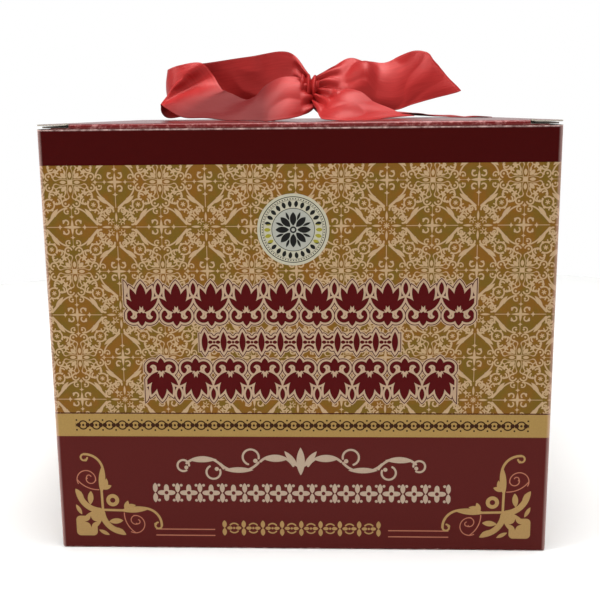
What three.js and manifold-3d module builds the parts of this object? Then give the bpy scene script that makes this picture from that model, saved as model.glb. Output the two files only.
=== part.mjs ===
// A folding gift carton for a panettone, tied on its lid with a satin ribbon bow.
// Millimetres, +Z up. The origin is the centre of the base, and the printed front faces -Y.
// Every board panel and flap between two creases is a solid of its own.
import * as THREE from "three";
import { mergeVertices } from "three/addons/utils/BufferGeometryUtils.js";
import Module from "manifold-3d";

// ---- driving dimensions ----
const width = 200; // outside, along X
const depth = 200; // outside, along Y
const height = 174; // floor to the top of the closed lid
const board = 0.6; // thickness of the paperboard
const gap = 0.3; // clearance between neighbouring solids
const tuckDepth = 20; // crease to edge of the tuck flap
const tuckLean = 6; // degrees that the tuck flap leans inwards when closed
const dustDepth = 54; // crease to edge of a dust flap
const slitLength = 12; // cut at each end of the front crease
const ribbonWidth = 25;
const ribbonThickness = 0.8;
const ribbonSlotX = 16; // each ribbon slot's distance from the middle of the lid
const mouldRadius = 84; // baking mould at its base
const mouldHeight = 104;
const loafHeight = 146; // base to crown

// ---- levels and half sizes worked out from them ----
const halfWidth = width / 2;
const halfDepth = depth / 2;
const layer = board + gap; // one board of a stack with its clearance
const innerX = halfWidth - layer; // inside face of a side panel, less the clearance
const innerY = halfDepth - layer;
const lidUnderside = height - board;
const dustUnderside = lidUnderside - gap - board;
const frontTop = height - 2; // the front panel's raw edge shows below the lid
const sideTop = dustUnderside - gap;
const backTop = lidUnderside - gap;

const model = new THREE.Group();

const finishes = {
  print: { color: 0xa08448, roughness: 0.35, metalness: 0 },
  maroon: { color: 0x6e1418, roughness: 0.3, metalness: 0 },
  rawBoard: { color: 0xb9b4aa, roughness: 0.85, metalness: 0 },
  satin: { color: 0xa52a2d, roughness: 0.4, metalness: 0 },
  crust: { color: 0x7a4218, roughness: 0.8, metalness: 0 },
  bakingPaper: { color: 0x6b4a2c, roughness: 0.85, metalness: 0 },
  film: { color: 0xe8ecee, roughness: 0.1, metalness: 0 },
  tie: { color: 0xc9a24a, roughness: 0.35, metalness: 0.6 },
};

function add(name, geometry, finish) {
  const mesh = new THREE.Mesh(geometry, new THREE.MeshStandardMaterial(finishes[finish]));
  mesh.name = name;
  model.add(mesh);
  return mesh;
}

// ---- shapes ----
// A block between two corners.
function block([x0, y0, z0], [x1, y1, z1]) {
  const geometry = new THREE.BoxGeometry(x1 - x0, y1 - y0, z1 - z0);
  return geometry.translate((x0 + x1) / 2, (y0 + y1) / 2, (z0 + z1) / 2);
}

// A polygon whose corners may be rounded: each point is [x, y] or [x, y, radius].
function outline(points) {
  const shape = new THREE.Shape();
  points.forEach(([x, y, radius = 0], i) => {
    const corner = new THREE.Vector2(x, y);
    const towards = (other) => {
      const [ox, oy] = points[(other + points.length) % points.length];
      return new THREE.Vector2(ox, oy).sub(corner).setLength(radius).add(corner);
    };
    const start = radius ? towards(i - 1) : corner;
    if (i === 0) shape.moveTo(start.x, start.y);
    else shape.lineTo(start.x, start.y);
    if (radius) {
      const end = towards(i + 1);
      shape.quadraticCurveTo(x, y, end.x, end.y);
    }
  });
  return shape;
}

// A flat board cut to an outline in X and Y, with its underside at a level.
function boardAt(shape, underside, thickness = board) {
  const settings = { depth: thickness, bevelEnabled: false, curveSegments: 6 };
  return new THREE.ExtrudeGeometry(shape, settings).translate(0, 0, underside);
}

// A solid turned about +Z from [radius, z] points, base first and up the outside.
function turned(points, segments) {
  const profile = points.map(([r, z]) => new THREE.Vector2(r, z));
  return new THREE.LatheGeometry(profile, segments).rotateX(Math.PI / 2);
}

// Points on an arc in [radius, z] about a centre, angles in degrees from the horizontal.
function arc(centreR, centreZ, radiusR, radiusZ, from, to, steps) {
  return Array.from({ length: steps + 1 }, (_, i) => {
    const angle = THREE.MathUtils.degToRad(from + ((to - from) * i) / steps);
    return [centreR + radiusR * Math.cos(angle), centreZ + radiusZ * Math.sin(angle)];
  });
}

// ---- joining and cutting ----
const wasm = await Module();
wasm.setup();

function solid(geometry) {
  const bare = geometry.index ? geometry.toNonIndexed() : geometry.clone();
  bare.deleteAttribute("normal");
  bare.deleteAttribute("uv");
  const merged = mergeVertices(bare, 1e-4);
  return new wasm.Manifold(
    new wasm.Mesh({
      numProp: 3,
      vertProperties: merged.attributes.position.array,
      triVerts: new Uint32Array(merged.index.array),
    }),
  );
}

function geometryOf(manifold) {
  const { vertProperties, triVerts } = manifold.getMesh();
  const geometry = new THREE.BufferGeometry();
  geometry.setAttribute("position", new THREE.BufferAttribute(vertProperties, 3));
  return geometry.setIndex(new THREE.BufferAttribute(triVerts, 1));
}

function cut(geometry, tools) {
  return geometryOf(tools.reduce((left, tool) => left.subtract(solid(tool)), solid(geometry)));
}

// ---- walls ----
add("front_panel", block([-halfWidth, -halfDepth, 0], [halfWidth, board - halfDepth, frontTop]), "print");
add("back_panel", block([-halfWidth, halfDepth - board, 0], [halfWidth, halfDepth, backTop]), "print");
for (const [side, name] of [[-1, "left"], [1, "right"]]) {
  const inside = side * (halfWidth - board);
  const outside = side * halfWidth;
  const [x0, x1] = side < 0 ? [outside, inside] : [inside, outside];
  add(`${name}_panel`, block([x0, -innerY, 0], [x1, innerY, sideTop]), "print");
}

// The glue flap folds round the rear left corner and is stuck inside the left panel.
const glueFlapWidth = 18;
const glueFlapInset = 4; // its ends stop short of the creases
add(
  "glue_flap",
  block(
    [-innerX, innerY - glueFlapWidth, 4 * layer + glueFlapInset],
    [-innerX + board, innerY, sideTop - glueFlapInset],
  ),
  "rawBoard",
);

// ---- lid, tuck flap and dust flaps ----
const lidEdge = halfWidth - gap;
const creaseEnd = halfWidth - slitLength; // the front crease runs between the two slits
const lidCornerY = gap / 2 - halfDepth; // the lid's corners reach over the front panel
const lidRear = halfDepth - gap / 3;
const lidOutline = outline([
  [-lidEdge, lidCornerY],
  [-creaseEnd, lidCornerY],
  [-creaseEnd, -innerY],
  [creaseEnd, -innerY],
  [creaseEnd, lidCornerY],
  [lidEdge, lidCornerY],
  [lidEdge, lidRear],
  [-lidEdge, lidRear],
]);
const slotHalfWidth = ribbonThickness / 2 + gap;
const slotHalfLength = ribbonWidth / 2 + 1;
const overcut = 1; // how far a cutting block reaches past the board
const lidCuts = [-ribbonSlotX, ribbonSlotX].map((x) =>
  block(
    [x - slotHalfWidth, -slotHalfLength, lidUnderside - overcut],
    [x + slotHalfWidth, slotHalfLength, height + overcut],
  ),
);
add("lid_panel", cut(boardAt(lidOutline, lidUnderside), lidCuts), "maroon");

// The tuck flap is cut flat, then hung from the front crease. Its shoulders reach past the slits.
const tuckRoot = creaseEnd + 8; // half width at the crease
const tuckTip = creaseEnd + 2; // half width at the free edge
const tuckRootRound = 2;
const tuckTipRound = 9;
const tuckOutline = outline([
  [-tuckRoot, 0, tuckRootRound],
  [-tuckTip, -tuckDepth, tuckTipRound],
  [tuckTip, -tuckDepth, tuckTipRound],
  [tuckRoot, 0, tuckRootRound],
]);
const tuckFlap = add("tuck_flap", boardAt(tuckOutline, 0), "maroon");
tuckFlap.position.set(0, -innerY + board, lidUnderside - gap);
tuckFlap.rotation.x = THREE.MathUtils.degToRad(90 + tuckLean);

// A dust flap's rear edge slopes away so that the lid clears it all the way round.
const dustFront = 6 - halfDepth;
const dustRear = halfDepth - 9;
const dustSlope = 0.5;
const dustFrontRound = 10;
const dustRearRound = 14;
for (const [side, name] of [[-1, "left"], [1, "right"]]) {
  const crease = side * (halfWidth - gap - gap / 3);
  const edge = crease - side * dustDepth;
  const corners = [
    [crease, dustFront],
    [edge, dustFront, dustFrontRound],
    [edge, dustRear - dustDepth * dustSlope, dustRearRound],
    [crease, dustRear],
  ];
  const shape = outline(side < 0 ? corners : corners.reverse());
  add(`${name}_dust_flap`, boardAt(shape, dustUnderside), "rawBoard");
}

// ---- snap-lock base, four flaps in three layers ----
const baseFlapDepth = 52; // side flaps
const baseFlapFront = 38; // how far a side flap's free edge stops short of the front
const baseFlapRear = 22; // and of the rear
const creaseRelief = 3; // a flap's crease is this much shorter at each end than its panel
const flapRound = 6; // rounded corners
const lockFlapRound = 8;
const lockHalfWidth = 35; // tongue on the front flap
const slotFront = 2; // the rear flap's lock slot
const slotRear = 14;
const innerLevel = 2 * layer; // underside of the rear flap, the inmost layer

for (const [side, name] of [[-1, "left"], [1, "right"]]) {
  const crease = side * innerX;
  const edge = crease - side * baseFlapDepth;
  const corners = [
    [crease, -innerY + creaseRelief],
    [edge, -innerY + baseFlapFront, flapRound],
    [edge, innerY - baseFlapRear, flapRound],
    [crease, innerY - creaseRelief],
  ];
  const shape = outline(side < 0 ? corners : corners.reverse());
  add(`bottom_${name}_flap`, boardAt(shape, layer), "rawBoard");
}

const lockFlapHalf = innerX - 2; // half width of the front and rear flaps at their creases
const rearFlapEdge = -32; // free edge of the rear flap's middle
const rearShoulder = -20; // and of its sides
const rearShoulderHalf = lockFlapHalf - 4;
const rearMiddleHalf = lockHalfWidth + 20;
const rearFlapOutline = outline([
  [-lockFlapHalf, innerY],
  [-rearShoulderHalf, rearShoulder, lockFlapRound],
  [-rearMiddleHalf, rearFlapEdge, flapRound],
  [rearMiddleHalf, rearFlapEdge, flapRound],
  [rearShoulderHalf, rearShoulder, lockFlapRound],
  [lockFlapHalf, innerY],
]);
const lockSlotHalf = lockHalfWidth + 2;
const lockSlot = block(
  [-lockSlotHalf, slotFront, innerLevel - overcut],
  [lockSlotHalf, slotRear, innerLevel + board + overcut],
);
add("bottom_rear_flap", cut(boardAt(rearFlapOutline, innerLevel), [lockSlot]), "rawBoard");

// The front flap lies outermost. Its tongue climbs through the slot and locks over the rear flap.
const frontFlapEdge = -6;
const frontFlapTip = lockFlapHalf - 10; // half width at that edge
const frontFlapOutline = outline([
  [-lockFlapHalf, -innerY],
  [lockFlapHalf, -innerY],
  [frontFlapTip, frontFlapEdge, lockFlapRound],
  [-frontFlapTip, frontFlapEdge, lockFlapRound],
]);
const tongueLevel = 3 * layer;
const tongueReach = 46;
const tongueRoot = 2 * frontFlapEdge; // where the tongue's solid starts inside its flap
const tongueSide = new THREE.Shape();
tongueSide.moveTo(tongueRoot, 0);
tongueSide.lineTo(slotFront + 1, 0);
tongueSide.lineTo(slotRear - 1, tongueLevel);
tongueSide.lineTo(tongueReach, tongueLevel);
tongueSide.lineTo(tongueReach, tongueLevel + board);
tongueSide.lineTo(slotRear - 2, tongueLevel + board);
tongueSide.lineTo(slotFront, board);
tongueSide.lineTo(tongueRoot, board);
const tongue = new THREE.ExtrudeGeometry(tongueSide, { depth: 2 * lockHalfWidth, bevelEnabled: false })
  .rotateX(Math.PI / 2)
  .rotateZ(Math.PI / 2)
  .translate(-lockHalfWidth, 0, 0);
const frontFlap = solid(boardAt(frontFlapOutline, 0)).add(solid(tongue));
add("bottom_front_flap", geometryOf(frontFlap), "rawBoard");

// ---- contents: a bagged loaf in its paper mould ----
const turns = 64;
const film = 0.3;
const paper = 0.5;
const bagBase = 4 * layer;
const mouldBase = bagBase + film + gap;
const mouldTop = mouldBase + mouldHeight;
const mouldFlare = 2; // the mould is this much wider at its rim
const loafBase = mouldBase + paper + gap;
const crown = loafBase + loafHeight;
const loafFoot = mouldRadius - paper - gap;
const loafRim = loafFoot + mouldFlare;
const domeRadius = loafRim + 5; // the dome swells over the rim
const domeCentre = mouldTop + 12; // level at which the dome is widest
const domeUnder = 10; // how far below that level its curve starts

add(
  "baking_mould",
  turned(
    [
      [0, mouldBase],
      [mouldRadius, mouldBase],
      [mouldRadius + mouldFlare, mouldTop],
      [mouldRadius + mouldFlare - paper, mouldTop],
      [mouldRadius - paper, mouldBase + paper],
      [0, mouldBase + paper],
    ],
    turns,
  ),
  "bakingPaper",
);
add(
  "panettone_loaf",
  turned(
    [
      [0, loafBase],
      [loafFoot, loafBase],
      [loafRim, mouldTop - 1],
      ...arc(0, domeCentre, domeRadius, domeUnder, -40, 0, 3),
      ...arc(0, domeCentre, domeRadius, crown - domeCentre, 0, 84, 9).slice(1),
      [0, crown],
    ],
    turns,
  ),
  "crust",
);

const bagRadius = domeRadius + 1.5;
const bagFootRound = 6;
const neckRadius = 4;
const neckHalfHeight = 2;
const neckLevel = crown + 9;
const bagTop = dustUnderside - 5;
const bagFlare = 9; // how far the bag spreads again above the tie
function bagProfile(offset) {
  return [
    [bagRadius - bagFootRound - offset, bagBase + offset],
    [bagRadius - offset, bagBase + bagFootRound + 2],
    [bagRadius - offset, domeCentre],
    ...arc(0, domeCentre, bagRadius - offset, crown + 3 - domeCentre - offset, 10, 78, 6),
    [neckRadius - offset, neckLevel - neckHalfHeight],
    [neckRadius - offset, neckLevel + neckHalfHeight],
    [neckRadius + bagFlare - offset, bagTop],
  ];
}
add(
  "clear_bag",
  turned(
    [[0, bagBase], ...bagProfile(0), ...bagProfile(film).reverse(), [0, bagBase + film]],
    turns,
  ),
  "film",
);

// The tie is one turn and a quarter of flat wire round the bag's neck, with both ends left long.
const tieRadius = neckRadius + 1;
const tieWireRadius = 0.5;
const tieTurns = 1.25;
const tieRise = 2.2; // from the first end of the turn to the last
const tieEnd = 14; // how far each end stands away from the neck
const tieSteps = 15;
const tiePath = Array.from({ length: tieSteps + 1 }, (_, i) => {
  const angle = (i / tieSteps) * Math.PI * 2 * tieTurns;
  return new THREE.Vector3(
    tieRadius * Math.cos(angle),
    tieRadius * Math.sin(angle),
    neckLevel - 1 + (i / tieSteps) * tieRise,
  );
});
tiePath.unshift(new THREE.Vector3(tieRadius + 2, -tieEnd, neckLevel - 1.4));
tiePath.push(new THREE.Vector3(-tieEnd, tieRadius + 2, neckLevel + 1.6));
const tieSection = new THREE.Path().absarc(0, 0, tieWireRadius, 0, Math.PI * 2).getPoints(6);
add(
  "twist_tie",
  new THREE.ExtrudeGeometry(new THREE.Shape(tieSection), {
    steps: 48,
    extrudePath: new THREE.CatmullRomCurve3(tiePath),
    bevelEnabled: false,
  }),
  "tie",
);

// ---- ribbon ----
// A band of ribbon: its side view is a line with a thickness, and it is as wide as the ribbon.
function band(line) {
  const curve = new THREE.CatmullRomCurve3(line.map(([x, y]) => new THREE.Vector3(x, y, 0)));
  const steps = 6 * (line.length - 1);
  const edge = (side) =>
    Array.from({ length: steps + 1 }, (_, i) => {
      const at = curve.getPointAt(i / steps);
      const along = curve.getTangentAt(i / steps);
      const out = (side * ribbonThickness) / 2;
      return new THREE.Vector2(at.x - along.y * out, at.y + along.x * out);
    });
  const shape = new THREE.Shape([...edge(1), ...edge(-1).reverse()]);
  const geometry = new THREE.ExtrudeGeometry(shape, { depth: ribbonWidth, bevelEnabled: false });
  return geometry.translate(0, 0, -ribbonWidth / 2);
}

const knotAt = [1, -2]; // the knot stands a little to the front and right of the lid's middle
const knotHeight = 14; // its centre above the lid
const knotHalf = [8, 8, 7];
const knot = new THREE.SphereGeometry(1, 20, 12).scale(...knotHalf);
add("bow_knot", knot.translate(...knotAt, height + knotHeight), "satin");

// The strap runs under the lid, up through both slots and in over the lid to the knot.
const strapUnder = lidUnderside - gap - ribbonThickness;
const strapOver = height + gap;
const strapEnd = 4; // the two ends stop this far from the middle, under the knot
const strapIn = ribbonSlotX - ribbonThickness / 2;
const strapOut = ribbonSlotX + ribbonThickness / 2;
const strapSide = new THREE.Shape();
strapSide.moveTo(-strapOut, strapUnder);
strapSide.lineTo(strapOut, strapUnder);
strapSide.lineTo(strapOut, strapOver + ribbonThickness);
strapSide.lineTo(strapEnd, strapOver + ribbonThickness);
strapSide.lineTo(strapEnd, strapOver);
strapSide.lineTo(strapIn, strapOver);
strapSide.lineTo(strapIn, strapUnder + ribbonThickness);
strapSide.lineTo(-strapIn, strapUnder + ribbonThickness);
strapSide.lineTo(-strapIn, strapOver);
strapSide.lineTo(-strapEnd, strapOver);
strapSide.lineTo(-strapEnd, strapOver + ribbonThickness);
strapSide.lineTo(-strapOut, strapOver + ribbonThickness);
const strap = new THREE.ExtrudeGeometry(strapSide, { depth: ribbonWidth, bevelEnabled: false });
add("ribbon_strap", strap.translate(0, 0, -ribbonWidth / 2).rotateX(Math.PI / 2), "satin");

// Each loop is a band bent into a drop shape, standing on edge and tilted up at its far end.
function loop(side, reach, tilt, lift) {
  const root = knotHalf[0] + gap;
  const line = [
    [root, 3],
    [reach * 0.45, 15],
    [reach * 0.8, 17],
    [reach, 9],
    [reach * 0.97, -6],
    [reach * 0.7, -16],
    [reach * 0.35, -14],
    [root, -3],
  ];
  const geometry = band(line.map(([x, y]) => [side * x, y]));
  geometry.rotateY(-side * THREE.MathUtils.degToRad(tilt));
  return geometry.translate(...knotAt, height + lift);
}
add("bow_left_loop", loop(-1, 66, 5, 14.5), "satin");
add("bow_right_loop", loop(1, 70, 0, 20.5), "satin");

// The tails come down from the knot and lie on the lid, one to the front and one to the rear.
function tail(turn, startY, line) {
  const geometry = band(line).rotateX(Math.PI / 2).rotateZ(THREE.MathUtils.degToRad(turn));
  return geometry.translate(knotAt[0] + 1, startY, height);
}
const tailRest = gap + ribbonThickness / 2;
const tailDrop = [[6, 7], [15, 4.4], [22, 2.8], [34, tailRest + 0.3]];
add("bow_front_tail", tail(-50, -10, [...tailDrop, [46, tailRest]]), "satin");
add("bow_rear_tail", tail(16, 8, [...tailDrop, [62, tailRest], [90, tailRest]]), "satin");

export default model;
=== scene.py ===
"""A folding gift carton for a panettone, tied on its lid with a satin ribbon bow.

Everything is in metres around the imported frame, +Z up, with the printed front facing -Y.
Printed ornament is worked out in millimetres, because it is drawn at that scale.
"""

import math

import bpy
import numpy as np
from mathutils import Matrix, Vector, noise


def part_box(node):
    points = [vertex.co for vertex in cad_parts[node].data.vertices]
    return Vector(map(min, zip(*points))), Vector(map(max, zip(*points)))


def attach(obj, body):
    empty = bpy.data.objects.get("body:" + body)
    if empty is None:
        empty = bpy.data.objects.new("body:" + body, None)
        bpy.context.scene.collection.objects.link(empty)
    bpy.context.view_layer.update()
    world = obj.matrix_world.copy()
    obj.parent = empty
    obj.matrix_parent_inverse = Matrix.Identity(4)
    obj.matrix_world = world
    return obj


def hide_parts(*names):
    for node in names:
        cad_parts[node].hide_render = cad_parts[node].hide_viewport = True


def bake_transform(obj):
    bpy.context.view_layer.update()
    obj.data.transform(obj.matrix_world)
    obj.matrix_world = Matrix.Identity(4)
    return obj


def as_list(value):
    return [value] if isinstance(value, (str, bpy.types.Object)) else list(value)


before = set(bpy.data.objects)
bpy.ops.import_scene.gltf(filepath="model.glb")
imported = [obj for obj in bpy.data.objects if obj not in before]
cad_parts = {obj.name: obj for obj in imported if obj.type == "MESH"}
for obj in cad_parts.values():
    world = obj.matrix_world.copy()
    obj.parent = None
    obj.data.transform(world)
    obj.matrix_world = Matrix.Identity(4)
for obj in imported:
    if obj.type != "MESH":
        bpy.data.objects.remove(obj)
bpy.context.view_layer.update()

bl_info = {
    "name": "Panettone gift box",
    "version": (1, 0, 0),
    "blender": (4, 5, 0),
    "location": "3D View > Sidebar > Gift Box",
    "description": "Builds a printed gift carton with a ribbon bow and a bagged panettone inside",
    "category": "Add Mesh",
}

# ---- sizes taken from the frame ----
MM = 0.001
TOUCH = 1e-6  # corners nearer than this are one corner
front_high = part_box("front_panel")[1]
back_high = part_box("back_panel")[1]
right_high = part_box("right_panel")[1]
lid_low, lid_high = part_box("lid_panel")
tuck_low, tuck_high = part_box("tuck_flap")
loaf_low, loaf_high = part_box("panettone_loaf")
mould_low, mould_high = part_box("baking_mould")
bag_low, bag_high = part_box("clear_bag")
tie_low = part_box("twist_tie")[0]

board = lid_high.z - lid_low.z
half_width = front_high.x
half_depth = back_high.y
lid_top = lid_high.z
base_fold = 1.5 * board  # radius of the creases round the base
dust_edge = -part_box("left_dust_flap")[1].x  # the dust flaps hold the lid up beyond this


# ---- settings a user would change ----
def length_setting(name, description, default):
    return bpy.props.FloatProperty(
        name=name, description=description, default=default, min=0.0, unit="LENGTH", precision=4
    )


def display(red, green, blue):
    """A linear colour from the three values that a screen shows, 0 to 255."""
    shares = (value / 255 for value in (red, green, blue))
    return (*(s / 12.92 if s <= 0.04045 else ((s + 0.055) / 1.055) ** 2.4 for s in shares), 1.0)


def colour_setting(name, description, *screen_values):
    return bpy.props.FloatVectorProperty(
        name=name,
        description=description,
        default=display(*screen_values),
        size=4,
        min=0.0,
        max=1.0,
        subtype="COLOR",
    )


class GiftBoxSizes(bpy.types.PropertyGroup):
    """Sizes of the folds and the ribbon."""

    fold_radius: length_setting("Fold radius", "Outside radius of the board's creases", 1.0 * MM)
    lid_rise: length_setting("Lid rise", "How far the lid bows upwards", 0.6 * MM)
    lid_dip: length_setting("Lid dip", "How far the ribbon pulls the lid's middle down", 0.6 * MM)
    ribbon_width: length_setting("Ribbon width", "Width of the satin ribbon", 25.0 * MM)
    ribbon_thickness: length_setting("Ribbon thickness", "Thickness of the satin ribbon", 0.3 * MM)


class GiftBoxColours(bpy.types.PropertyGroup):
    """Inks, board, ribbon and crust."""

    gold: colour_setting("Gold", "Ground of the damask", 108, 83, 27)
    gold_shade: colour_setting("Gold shade", "Browner patches of the damask's ground", 122, 81, 27)
    cream: colour_setting("Cream", "Scrolls of the damask", 178, 150, 115)
    band: colour_setting("Band", "Plain strip above the foot", 156, 126, 72)
    maroon: colour_setting("Maroon", "Foot of the carton", 82, 26, 23)
    dark_maroon: colour_setting("Dark maroon", "Top band", 60, 1, 0)
    ribbon: colour_setting("Ribbon", "Satin ribbon", 160, 33, 32)
    raw_board: colour_setting("Raw board", "Unprinted board", 166, 158, 146)
    crust: colour_setting("Crust", "Top crust of the loaf", 120, 58, 20)


# ---- shader values that read as arithmetic ----
def owner(*values):
    """The finish that the first shader value among some values belongs to."""
    return next(value.finish for value in values if isinstance(value, Value))


def number(operation, *values, clamp=False):
    """Adds a Math node."""
    settings = {"operation": operation, "use_clamp": clamp}
    return owner(*values).node("ShaderNodeMath", settings, dict(enumerate(values)))


def vector(operation, *values):
    """Adds a Vector Math node. Places may be given as two numbers."""
    filled = [v if isinstance(v, Value) else tuple(v) + (0.0,) * (3 - len(v)) for v in values]
    output = int(operation in ("DOT_PRODUCT", "DISTANCE", "LENGTH"))
    sockets = dict(enumerate(filled))
    return owner(*values).node("ShaderNodeVectorMath", {"operation": operation}, sockets, output)


def reckoned(add_node, operation):
    """A method of a shader value that adds a Math or Vector Math node to it."""
    return lambda value, *others: add_node(operation, value, *others)


class Value:
    """A number or vector on a socket of a finish's node tree."""

    def __init__(self, finish, socket):
        self.finish = finish
        self.socket = socket

    __add__ = __radd__ = reckoned(number, "ADD")
    __sub__ = reckoned(number, "SUBTRACT")
    __mul__ = __rmul__ = reckoned(number, "MULTIPLY")
    __abs__ = reckoned(number, "ABSOLUTE")
    __gt__ = reckoned(number, "GREATER_THAN")
    sine = reckoned(number, "SINE")
    cosine = reckoned(number, "COSINE")
    along = reckoned(vector, "DOT_PRODUCT")  # how far a point lies in a direction
    away = reckoned(vector, "DISTANCE")  # a point's distance from another
    size = reckoned(vector, "LENGTH")
    less = reckoned(vector, "SUBTRACT")  # a point seen from another

    def __rsub__(self, other):
        return number("SUBTRACT", other, self)

    def __neg__(self):
        return self * -1.0

    def part(self, axis):
        """One axis of a vector."""
        return self.finish.node("ShaderNodeSeparateXYZ", {}, {0: self}, "XYZ".index(axis))

    def turn(self):
        """The angle of a point about the origin, in radians."""
        return number("ARCTAN2", self.part("Y"), self.part("X"))

    def range(self, low, high, to_low=0.0, to_high=1.0):
        """A value's range mapped onto another, without running past its ends."""
        sockets = {0: self, 1: low, 2: high, 3: to_low, 4: to_high}
        return self.finish.node("ShaderNodeMapRange", {"clamp": True}, sockets)

    def noise(self, scale, detail=2.0, roughness=0.5, stretch=(1.0, 1.0, 1.0)):
        """Noise of about 1 / scale millimetres, from 0 to 1."""
        where = self if stretch == (1.0, 1.0, 1.0) else vector("MULTIPLY", self, stretch)
        sockets = {"Vector": where, "Scale": scale, "Detail": detail, "Roughness": roughness}
        return self.finish.node("ShaderNodeTexNoise", {}, sockets)

    def bump(self, distance, strength=1.0):
        """A normal from a height of 0 to 1 that stands for a distance in metres."""
        sockets = {"Height": self, "Distance": distance, "Strength": strength}
        return self.finish.node("ShaderNodeBump", {}, sockets)


def least(first, *others):
    for other in others:
        first = number("MINIMUM", first, other)
    return first


def most(first, *others):
    for other in others:
        first = number("MAXIMUM", first, other)
    return first


def point(x, y, z=0.0):
    return owner(x, y, z).node("ShaderNodeCombineXYZ", {}, {0: x, 1: y, 2: z})


def mix(share, first, second, how="MIX"):
    """Second colour over first, as far as share says."""
    settings = {"data_type": "RGBA", "blend_type": how}
    sockets = {0: share, 6: first, 7: second}
    return owner(share, first, second).node("ShaderNodeMix", settings, sockets, 2)


def pick(test, if_true, if_false):
    sockets = {0: test, 2: if_false, 3: if_true}
    return test.finish.node("ShaderNodeMix", {"data_type": "FLOAT"}, sockets)


def edge(shape, softness=0.09):
    """1 inside a shape and 0 outside it, with a narrow soft edge, all in millimetres."""
    return number("MULTIPLY_ADD", shape, -1.0 / softness, 0.5, clamp=True)


class Finish:
    """A material, and the nodes that give it its colour, gloss and relief."""

    def __init__(self, name):
        self.material = bpy.data.materials.new(name)
        self.material.use_nodes = True
        self.tree = self.material.node_tree
        self.tree.nodes.clear()
        self.colours = bpy.context.scene.gift_box_colours

    def node(self, kind, settings, sockets, output=0):
        """Adds one node: its type, its settings, then the values or links of its sockets."""
        made = self.tree.nodes.new(kind)
        for name, value in settings.items():
            setattr(made, name, value)
        for name, value in sockets.items():
            if isinstance(value, Value):
                self.tree.links.new(value.socket, made.inputs[name])
            else:
                made.inputs[name].default_value = value
        return Value(self, made.outputs[output]) if len(made.outputs) else None

    def place(self):
        """Where on the carton a spot is, in millimetres."""
        where = self.node("ShaderNodeTexCoord", {}, {}, "Object")
        return vector("MULTIPLY", where, (1 / MM, 1 / MM, 1 / MM))

    def surface(self, **sockets):
        """The finished surface. Underscores in a socket's name stand for spaces."""
        named = {key.replace("_", " ").title().replace("Ior", "IOR"): v for key, v in sockets.items()}
        shader = self.node("ShaderNodeBsdfPrincipled", {}, named)
        self.node("ShaderNodeOutputMaterial", {}, {"Surface": shader})
        return self.material


# ---- ink shapes: distances in millimetres, negative inside ----
def across(start, end):
    """Middle, half length, direction and square direction of a line."""
    reach = math.dist(start, end) / 2
    middle = ((start[0] + end[0]) / 2, (start[1] + end[1]) / 2)
    forward = ((end[0] - middle[0]) / reach, (end[1] - middle[1]) / reach)
    return middle, reach, forward, (forward[1], -forward[0])


def dot(p, x, y, radius):
    return p.away((x, y)) - radius


def bar(p, x0, y0, x1, y1, half):
    """A straight stroke with round ends."""
    middle, reach, forward, square = across((x0, y0), (x1, y1))
    q = p.less(middle)
    return point(most(abs(q.along(forward)) - reach, 0.0), q.along(square)).size() - half


def arc(p, x, y, radius, towards, spread, half):
    """A stroke on a circle, from its middle direction to spread degrees on either side."""
    turn, reach = math.radians(towards), math.radians(spread)
    q = p.less((x, y))
    level = q.along((math.cos(turn), math.sin(turn)))
    side = abs(q.along((-math.sin(turn), math.cos(turn))))
    q = point(level, side)
    ring = abs(q.size() - radius)
    tip = q.away((radius * math.cos(reach), radius * math.sin(reach)))
    return pick(q.along((math.sin(reach), -math.cos(reach))) > 0.0, ring, tip) - half


def leaf(p, x0, y0, x1, y1, half):
    """A leaf with a point at each end."""
    middle, reach, forward, square = across((x0, y0), (x1, y1))
    radius = (reach * reach + half * half) / (2 * half)
    q = p.less(middle)
    return point(q.along(forward), abs(q.along(square)) + (radius - half)).size() - radius


def spark(p, x, y, reach):
    """A four-pointed star with hollow sides."""
    hollow = reach * 0.22
    q = vector("ABSOLUTE", p.less((x, y)))
    area = (q.part("X") + hollow) * (q.part("Y") + hollow)
    return (number("SQRT", area) - math.sqrt((reach + hollow) * hollow)) * 1.6


def flower(p, x, y, radius, lobe, petals):
    q = p.less((x, y))
    return q.size() - radius - (q.turn() * petals).cosine() * lobe


def pierced(p, x, y, radius, lobe, petals, hole):
    """A flower with a round hole."""
    return most(flower(p, x, y, radius, lobe, petals), -dot(p, x, y, hole))


def pad(p, x, y, half, round_by):
    """A square with rounded corners."""
    q = vector("ABSOLUTE", p.less((x, y))).less((half - round_by, half - round_by))
    return vector("MAXIMUM", q, (0.0, 0.0)).size() - round_by


def near(value, pitch):
    """Distance from the nearest of points that are a pitch apart."""
    return number("PINGPONG", value, pitch / 2)


def drawn(p, *strokes):
    """The ink of several strokes, each a shape and that shape's numbers."""
    return least(*(shape(p, *numbers) for shape, *numbers in strokes))


# ---- the damask ----
damask_pitch = 17.6  # from a rosette to the cross beside it
damask_start = (18.5, -151.8)  # takes a rosette to the origin


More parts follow.
